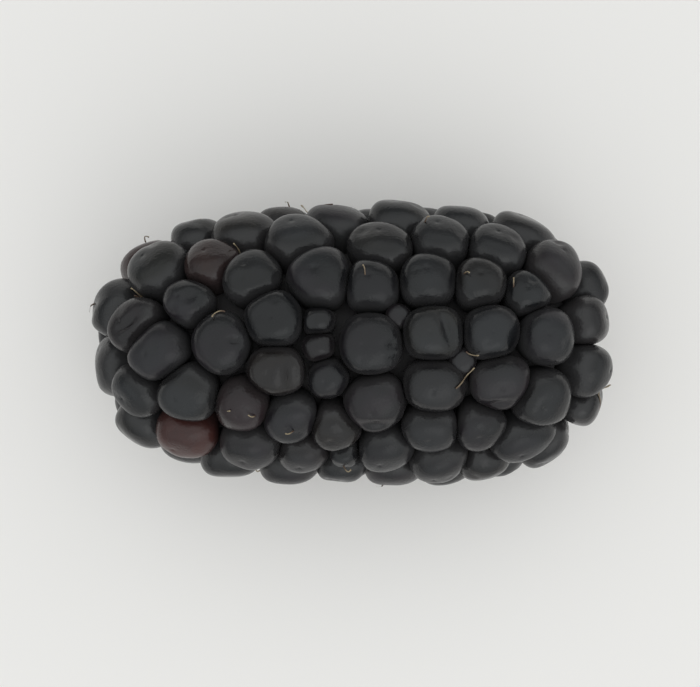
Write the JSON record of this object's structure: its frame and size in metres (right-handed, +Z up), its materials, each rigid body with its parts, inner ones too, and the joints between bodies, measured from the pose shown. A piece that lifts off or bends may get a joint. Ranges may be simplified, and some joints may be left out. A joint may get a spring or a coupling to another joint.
{
  "type": "bramble berry",
  "caption": "Ripe bramble berry without its calyx, lying on its side: plump, crowded, near-black drupelets round a fleshy receptacle whose pale round end shows where the stem came away.",
  "frame": {"origin": "middle of the fruit's footprint, on the surface that it lies on", "axes": "+X along the fruit's axis towards the stem end, with the tip at -X; +Y across it; +Z up"},
  "size_m": [0.037, 0.0206, 0.0201],
  "materials": {
    "drupelet_skin": "smooth, moist, glossy skin, near-black with a purple-red depth, a few drupelets redder",
    "receptacle_flesh": "pale greenish cream flesh, dull and fibrous, stained purple by juice at its rim",
    "dry_style": "thin dry threads, tan to brown"
  },
  "bodies": {
    "root": {"berry": "drupelet_skin"}
  },
  "joints": []
}
